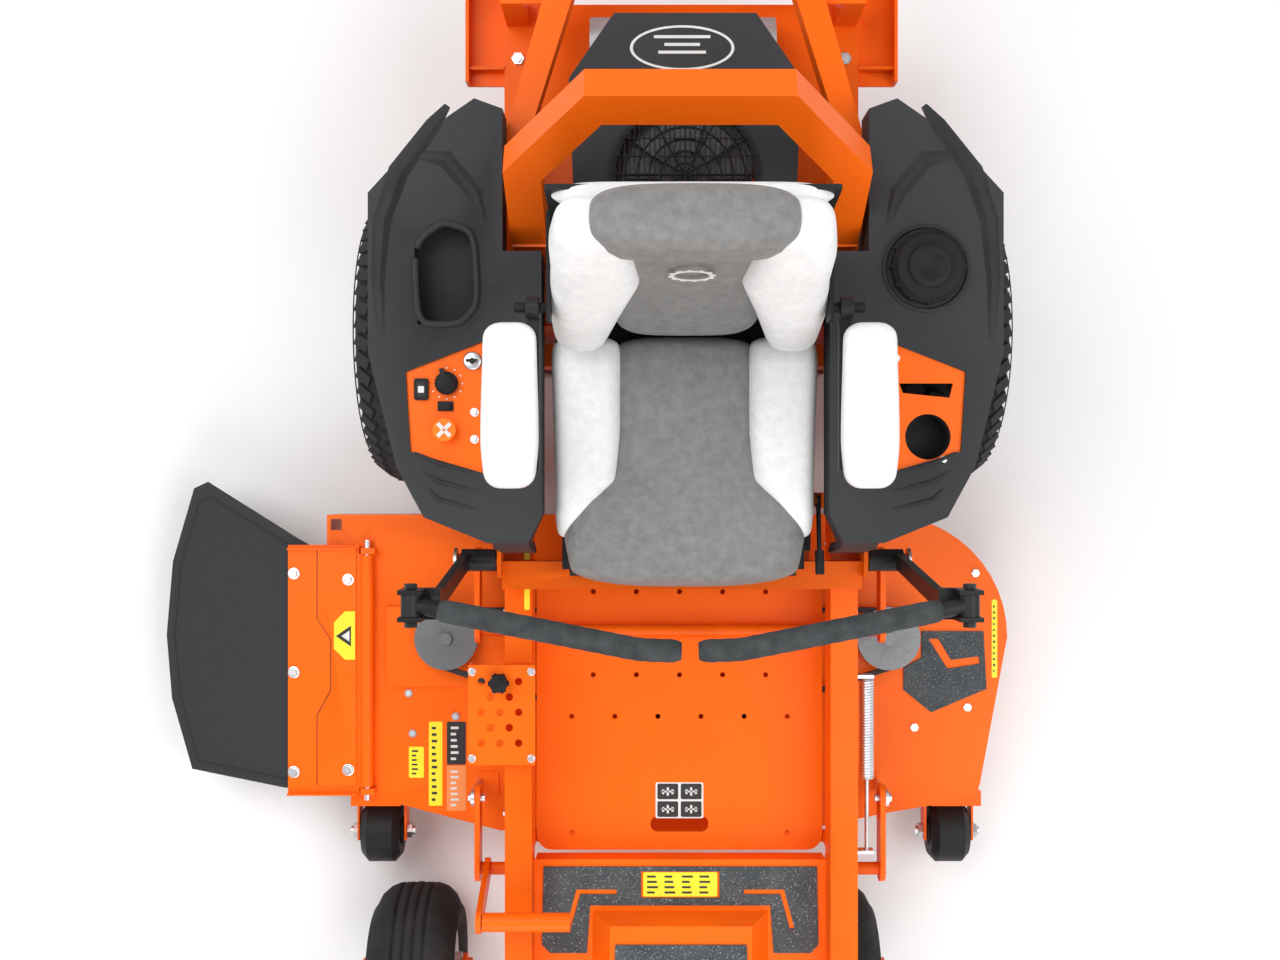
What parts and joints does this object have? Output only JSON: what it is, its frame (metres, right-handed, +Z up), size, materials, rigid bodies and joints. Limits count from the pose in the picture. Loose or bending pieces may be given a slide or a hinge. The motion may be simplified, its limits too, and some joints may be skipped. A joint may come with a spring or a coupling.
{
  "type": "zero turn mower",
  "caption": "Ride-on zero-turn lawn mower with a side-discharge cutting deck, lap-bar steering, swivel casters, a high-back seat and a rear engine.",
  "frame": {"origin": "on the ground under the middle of the machine's box", "axes": "+Z up, -Y is the direction of travel, +X is the operator's left (trim side), -X the discharge side"},
  "size_m": [1.705, 2.069, 1.115],
  "materials": {
    "orange_paint": "satin powder coat",
    "grip_mat": "speckled non-slip",
    "charcoal_plastic": "fine moulded grain",
    "black_plastic": "moulded",
    "orange_plastic": "smooth",
    "cast_metal": "cast",
    "tyre_rubber": "matt",
    "belt_rubber": "matt",
    "wheel_steel": "painted silver",
    "zinc": "zinc plated",
    "blade_steel": "ground",
    "black_paint": "satin black",
    "foam_grip": "foam",
    "seat_vinyl_grey": "grained vinyl",
    "seat_vinyl_white": "grained vinyl"
  },
  "bodies": {
    "chassis": {"main_frame": "orange_paint", "engine_guard": "orange_paint", "seat_hoop": "orange_paint", "footrest": "orange_paint", "footrest_mats": "grip_mat", "fender_left": "charcoal_plastic", "fender_right": "charcoal_plastic", "side_panels": "orange_paint", "electrics": "black_plastic", "fuel_tank": "black_plastic", "engine_block": "cast_metal", "engine_shroud": "charcoal_plastic", "fan_guard": "black_plastic", "hydro_units": "cast_metal", "height_plate": "orange_paint", "frame_hardware": "zinc"},
    "floor": {"floor_pan": "orange_paint"},
    "cap": {"fuel_cap": "black_plastic"},
    "crank": {"crankshaft": "blade_steel"},
    "wheel_left": {"rear_tyre_left": "tyre_rubber", "rear_rim_left": "wheel_steel"},
    "wheel_right": {"rear_tyre_right": "tyre_rubber", "rear_rim_right": "wheel_steel"},
    "fork_left": {"caster_fork_left": "orange_paint"},
    "fork_right": {"caster_fork_right": "orange_paint"},
    "caster_left": {"caster_tyre_left": "tyre_rubber", "caster_rim_left": "wheel_steel"},
    "caster_right": {"caster_tyre_right": "tyre_rubber", "caster_rim_right": "wheel_steel"},
    "deck": {"deck_shell": "orange_paint", "spindle_housings": "cast_metal", "deck_belt": "belt_rubber", "deck_hardware": "zinc", "grip_pad": "grip_mat"},
    "roller_left": {"scalp_roller_left": "black_plastic"},
    "roller_right": {"scalp_roller_right": "black_plastic"},
    "spindle_left": {"blade_left": "blade_steel"},
    "spindle_centre": {"blade_centre": "blade_steel"},
    "spindle_right": {"blade_right": "blade_steel"},
    "chute": {"chute_bracket": "orange_paint", "chute_flap": "belt_rubber"},
    "stop_pin": {"height_pin": "black_plastic"},
    "lift_front": {"lift_pedal": "orange_paint"},
    "lift_back": {"lift_rear": "orange_paint"},
    "control_left": {"lever_left": "black_paint"},
    "control_right": {"lever_right": "black_paint"},
    "bar_left": {"lap_bar_left": "black_paint", "grip_left": "foam_grip"},
    "bar_right": {"lap_bar_right": "black_paint", "grip_right": "foam_grip"},
    "seat_base": {"seat_pan": "black_paint"},
    "seat": {"seat_shell": "black_plastic", "seat_cushion": "seat_vinyl_grey", "seat_back": "seat_vinyl_white"},
    "arm_left": {"armrest_left": "seat_vinyl_white"},
    "arm_right": {"armrest_right": "seat_vinyl_white"},
    "brake": {"brake_lever": "black_plastic"},
    "key": {"ignition_key": "black_plastic"},
    "throttle": {"throttle_lever": "black_plastic"},
    "pto": {"pto_knob": "orange_plastic"}
  },
  "joints": [
    {"name": "floor_lift", "type": "hinge", "parent": "chassis", "child": "floor", "pos_m": [0.1945, -0.0675, 0.299], "axis": [-1, 0, 0], "range_deg": [0, 2.8]},
    {"name": "fuel_cap_turn", "type": "hinge", "parent": "chassis", "child": "cap", "pos_m": [0.5945, 0.4635, 0.68], "axis": [0, 0, 1], "range_deg": [0, 330]},
    {"name": "crank_spin", "type": "hinge", "parent": "chassis", "child": "crank", "pos_m": [0.1945, 0.6245, 0.3], "axis": [0, 0, 1], "continuous": true},
    {"name": "wheel_left_roll", "type": "hinge", "parent": "chassis", "child": "wheel_left", "pos_m": [0.661, 0.3845, 0.279], "axis": [1, 0, 0], "continuous": true},
    {"name": "wheel_right_roll", "type": "hinge", "parent": "chassis", "child": "wheel_right", "pos_m": [-0.272, 0.3845, 0.279], "axis": [1, 0, 0], "continuous": true},
    {"name": "caster_left_swivel", "type": "hinge", "parent": "chassis", "child": "fork_left", "pos_m": [0.5025, -0.9555, 0.38], "axis": [0, 0, 1], "continuous": true},
    {"name": "caster_right_swivel", "type": "hinge", "parent": "chassis", "child": "fork_right", "pos_m": [-0.3305, -0.9555, 0.38], "axis": [0, 0, 1], "continuous": true},
    {"name": "caster_left_roll", "type": "hinge", "parent": "fork_left", "child": "caster_left", "pos_m": [0.5025, -0.8705, 0.164], "axis": [1, 0, 0], "continuous": true},
    {"name": "caster_right_roll", "type": "hinge", "parent": "fork_right", "child": "caster_right", "pos_m": [-0.3305, -0.8705, 0.164], "axis": [1, 0, 0], "continuous": true},
    {"name": "deck_height", "type": "slide", "parent": "chassis", "child": "deck", "axis": [0, 0, 1], "range_m": [-0.035, 0.045]},
    {"name": "roller_left_roll", "type": "hinge", "parent": "deck", "child": "roller_left", "pos_m": [0.7525, -0.6125, 0.1015], "axis": [1, 0, 0], "continuous": true},
    {"name": "roller_right_roll", "type": "hinge", "parent": "deck", "child": "roller_right", "pos_m": [-0.4115, -0.6125, 0.1015], "axis": [1, 0, 0], "continuous": true},
    {"name": "blade_right_spin", "type": "hinge", "parent": "deck", "child": "spindle_right", "pos_m": [-0.2645, -0.2015, 0.15], "axis": [0, 0, 1], "continuous": true},
    {"name": "blade_centre_spin", "type": "hinge", "parent": "deck", "child": "spindle_centre", "pos_m": [0.1725, -0.3455, 0.15], "axis": [0, 0, 1], "continuous": true},
    {"name": "blade_left_spin", "type": "hinge", "parent": "deck", "child": "spindle_left", "pos_m": [0.6095, -0.2015, 0.15], "axis": [0, 0, 1], "continuous": true},
    {"name": "chute_swing", "type": "hinge", "parent": "deck", "child": "chute", "pos_m": [-0.4235, -0.2655, 0.214], "axis": [0, 1, 0], "range_deg": [0, 75]},
    {"name": "height_pin_lift", "type": "slide", "parent": "chassis", "child": "stop_pin", "axis": [0, 0, 1], "range_m": [0, 0.03]},
    {"name": "lift_front_turn", "type": "hinge", "parent": "chassis", "child": "lift_front", "pos_m": [0.1945, -0.6305, 0.322], "axis": [1, 0, 0], "range_deg": [-16, 20]},
    {"name": "lift_rear_turn", "type": "hinge", "parent": "chassis", "child": "lift_back", "pos_m": [0.1945, -0.1755, 0.322], "axis": [1, 0, 0], "range_deg": [-16, 20]},
    {"name": "control_left_drive", "type": "hinge", "parent": "chassis", "child": "control_left", "pos_m": [0.5765, -0.0325, 0.48], "axis": [1, 0, 0], "range_deg": [-9, 15]},
    {"name": "control_right_drive", "type": "hinge", "parent": "chassis", "child": "control_right", "pos_m": [-0.1875, -0.0325, 0.48], "axis": [1, 0, 0], "range_deg": [-9, 15]},
    {"name": "bar_left_swing", "type": "hinge", "parent": "control_left", "child": "bar_left", "pos_m": [0.6175, -0.0785, 0.88], "axis": [0, 1, 0], "range_deg": [0, 70]},
    {"name": "bar_right_swing", "type": "hinge", "parent": "control_right", "child": "bar_right", "pos_m": [-0.2285, -0.0785, 0.88], "axis": [0, -1, 0], "range_deg": [0, 70]},
    {"name": "seat_tilt", "type": "hinge", "parent": "chassis", "child": "seat_base", "pos_m": [0.1945, -0.0505, 0.503], "axis": [1, 0, 0], "range_deg": [0, 12]},
    {"name": "seat_slide", "type": "slide", "parent": "seat_base", "child": "seat", "axis": [0, -1, 0], "range_m": [0, 0.06]},
    {"name": "arm_left_lift", "type": "hinge", "parent": "seat", "child": "arm_left", "pos_m": [0.4545, 0.3765, 0.848], "axis": [-1, 0, 0], "range_deg": [0, 90]},
    {"name": "arm_right_lift", "type": "hinge", "parent": "seat", "child": "arm_right", "pos_m": [-0.0655, 0.3765, 0.848], "axis": [-1, 0, 0], "range_deg": [0, 90]},
    {"name": "brake_pull", "type": "hinge", "parent": "chassis", "child": "brake", "pos_m": [0.4315, 0.0755, 0.54], "axis": [-1, 0, 0], "range_deg": [0, 30]},
    {"name": "key_turn", "type": "hinge", "parent": "chassis", "child": "key", "pos_m": [-0.1605, 0.3095, 0.668], "axis": [0, 0, -1], "range_deg": [0, 90]},
    {"name": "throttle_turn", "type": "hinge", "parent": "chassis", "child": "throttle", "pos_m": [-0.2035, 0.2725, 0.668], "axis": [0, 0, 1], "range_deg": [-60, 40]},
    {"name": "pto_pull", "type": "slide", "parent": "chassis", "child": "pto", "axis": [0, 0, 1], "range_m": [0, 0.012]}
  ],
  "couplings": [
    {"joint": "lift_front_turn", "follows": "deck_height", "rad_per_m": 7.2},
    {"joint": "lift_rear_turn", "follows": "deck_height", "rad_per_m": 7.2},
    {"joint": "blade_left_spin", "follows": "blade_centre_spin", "ratio": 1},
    {"joint": "blade_right_spin", "follows": "blade_centre_spin", "ratio": 1}
  ]
}
